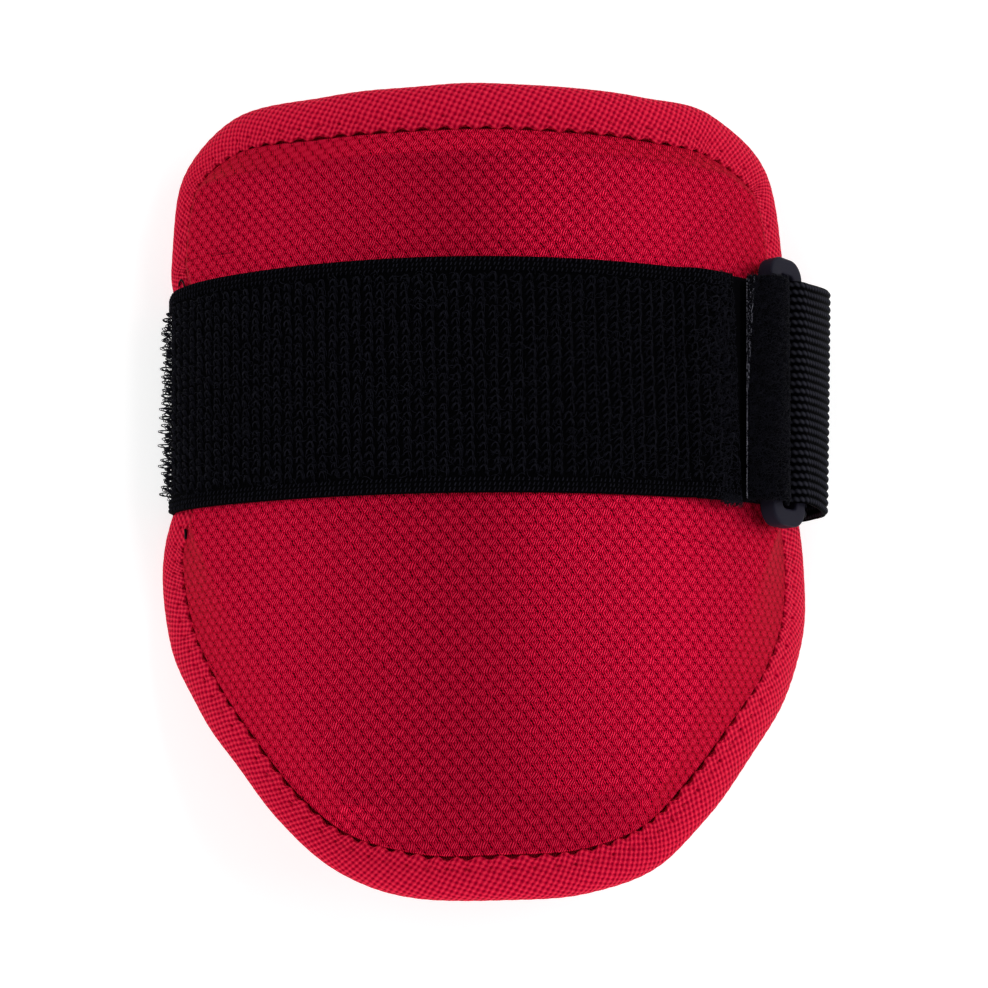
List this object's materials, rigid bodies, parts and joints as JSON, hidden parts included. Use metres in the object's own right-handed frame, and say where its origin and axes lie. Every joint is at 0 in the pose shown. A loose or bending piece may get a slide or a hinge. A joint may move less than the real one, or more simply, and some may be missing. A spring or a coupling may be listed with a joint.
{
  "type": "batter's elbow guard",
  "caption": "Padded curved elbow guard with a taped rim, a hollow back for the arm, and a wide elastic strap fastened across its front through a plastic ring in webbing.",
  "frame": {"origin": "bottom middle of the box: on the table under the guard, which lies on its hollow side", "axes": "+X towards the ring's edge, +Y towards the upper arm end, +Z out of the padded front"},
  "size_m": [0.1542, 0.1758, 0.0457],
  "materials": {
    "mesh_fabric": "red polyester air mesh",
    "binding_tape": "red twill tape, folded and sewn",
    "loop_elastic": "black loop-pile elastic",
    "hook_tape": "black brushed fastening tape",
    "ring_plastic": "black moulded satin plastic",
    "ribbed_webbing": "black ribbed webbing"
  },
  "bodies": {
    "root": {"pad": "mesh_fabric", "binding": "binding_tape", "strap": "loop_elastic", "hook_tab": "hook_tape", "ring": "ring_plastic", "ring_webbing": "ribbed_webbing"}
  },
  "joints": []
}
